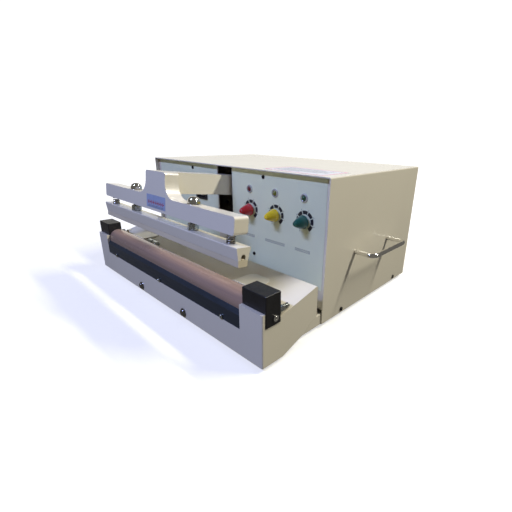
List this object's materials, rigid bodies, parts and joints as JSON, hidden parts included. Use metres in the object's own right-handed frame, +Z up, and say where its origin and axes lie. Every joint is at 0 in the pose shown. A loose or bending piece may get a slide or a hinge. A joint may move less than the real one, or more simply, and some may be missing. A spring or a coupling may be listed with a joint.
{
  "type": "automatic impulse heat sealer",
  "caption": "Bench bag sealer: a motor-driven arm swings a sprung silicone jaw down on a covered heated bolster, timed from a sloping-bed cabinet with side handles.",
  "frame": {"origin": "on the table, under the middle of the machine's bounding box, arm standing open", "axes": "+Z up, +X to the operator's right along the jaw, front (bolster) at -Y, back of the cabinet at +Y"},
  "size_m": [0.661, 0.525, 0.274],
  "materials": {
    "sheet_paint": "semi-gloss cream enamel on steel sheet",
    "cast_paint": "semi-gloss cream enamel on cast aluminium",
    "plate_steel": "grey painted steel plate",
    "rubber": "matt black rubber",
    "zinc": "bright zinc plate",
    "chrome": "polished chrome plate",
    "bar_alu": "mill-finish aluminium",
    "ptfe": "PTFE-coated glass cloth, mauve brown, satin",
    "tape": "amber insulating tape",
    "nichrome": "flat nichrome ribbon",
    "strip_blue": "dark blue anodised aluminium",
    "block_black": "black phenolic block",
    "label": "pale blue-grey printed overlay",
    "black_screw": "black oxide",
    "black_plastic": "black moulding",
    "board": "green circuit board",
    "knob_red": "gloss red",
    "knob_yellow": "gloss yellow",
    "knob_green": "gloss green",
    "bezel": "pale moulded bezel",
    "lens_red": "red lens",
    "lens_yellow": "yellow-green lens",
    "lens_green": "green lens",
    "rocker": "gloss black rocker",
    "steel": "ground steel",
    "spring_steel": "zinc plated spring wire",
    "motor_paint": "grey painted gear motor",
    "bronze": "oil-filled bronze",
    "silicone": "beige silicone rubber",
    "laminations": "varnished laminations",
    "copper": "enamelled copper wire under tape",
    "capacitor": "drawn aluminium can"
  },
  "bodies": {
    "chassis": {"base_tray": "sheet_paint", "base_rails": "plate_steel", "rubber_feet": "rubber", "bed_casting": "cast_paint", "apron_bolts": "zinc", "bolster_bar": "bar_alu", "insulation_tape": "tape", "heating_element": "nichrome", "ptfe_cover": "ptfe", "front_strip": "strip_blue", "strip_screws": "zinc", "end_blocks": "block_black", "end_block_screws": "chrome", "tension_screws": "zinc", "element_terminals": "zinc", "cabinet_cover": "sheet_paint", "cover_screws": "black_screw", "rear_panel": "sheet_paint", "front_panel": "sheet_paint", "control_labels": "label", "panel_screws": "black_screw", "side_handles": "chrome", "handle_nuts": "zinc", "power_inlet": "black_plastic", "fuse_holder": "black_plastic", "pedal_socket": "zinc", "timer_board": "board", "timer_potentiometers": "zinc", "lamp_bezels": "bezel", "lamp_cycle": "lens_red", "lamp_cooling": "lens_yellow", "lamp_sealing": "lens_green", "power_switch_body": "black_plastic", "pivot_brackets": "plate_steel", "pivot_shaft": "steel", "gear_motor": "motor_paint", "motor_pedestal": "plate_steel", "spring_hook": "zinc", "return_spring": "spring_steel", "transformer_core": "laminations", "transformer_winding": "copper", "motor_capacitor": "capacitor", "heat_contactor": "black_plastic", "limit_switch": "black_plastic"},
    "arm": {"arm_casting": "cast_paint", "pivot_bushes": "bronze", "arm_pins": "steel"},
    "jaw": {"sealing_jaw": "cast_paint", "silicone_strip": "silicone", "jaw_studs": "zinc", "jaw_lock_nuts": "zinc", "acorn_nuts": "chrome", "jaw_springs": "spring_steel"},
    "roller": {"follower_roller": "steel"},
    "cam": {"press_cam": "steel", "cam_shaft": "steel"},
    "knob_cycle": {"timer_knob_cycle": "knob_red"},
    "knob_cooling": {"timer_knob_cooling": "knob_yellow"},
    "knob_sealing": {"timer_knob_sealing": "knob_green"},
    "rocker": {"power_switch_rocker": "rocker"}
  },
  "joints": [
    {"name": "arm_hinge", "type": "hinge", "parent": "chassis", "child": "arm", "pos_m": [0, 0.1105, 0.211], "axis": [1, 0, 0], "range_deg": [0, 6.5], "stiffness_Nm_per_rad": 60, "springref_deg": -12.61, "deforming": ["return_spring"]},
    {"name": "cam_spin", "type": "hinge", "parent": "chassis", "child": "cam", "pos_m": [0, 0.1995, 0.1565], "axis": [1, 0, 0], "range_deg": [0, 180]},
    {"name": "roller_spin", "type": "hinge", "parent": "arm", "child": "roller", "pos_m": [0, 0.19856, 0.18889], "axis": [1, 0, 0], "continuous": true},
    {"name": "jaw_float", "type": "slide", "parent": "arm", "child": "jaw", "axis": [0, 0.1132, 0.9936], "range_m": [0, 0.004], "stiffness_N_per_m": 6000, "springref_m": -0.004, "deforming": ["jaw_springs"]},
    {"name": "cycle_knob_turn", "type": "hinge", "parent": "chassis", "child": "knob_cycle", "pos_m": [0.085, -0.0894, 0.191], "axis": [0, -1, 0], "range_deg": [-140, 140]},
    {"name": "cooling_knob_turn", "type": "hinge", "parent": "chassis", "child": "knob_cooling", "pos_m": [0.1565, -0.0894, 0.191], "axis": [0, -1, 0], "range_deg": [-140, 140]},
    {"name": "sealing_knob_turn", "type": "hinge", "parent": "chassis", "child": "knob_sealing", "pos_m": [0.228, -0.0894, 0.191], "axis": [0, -1, 0], "range_deg": [-140, 140]},
    {"name": "rocker_tilt", "type": "hinge", "parent": "chassis", "child": "rocker", "pos_m": [-0.089, -0.081, 0.204], "axis": [-1, 0, 0], "range_deg": [0, 14]}
  ],
  "couplings": [
    {"joint": "cam_spin", "follows": "arm_hinge", "ratio": 27.692}
  ]
}
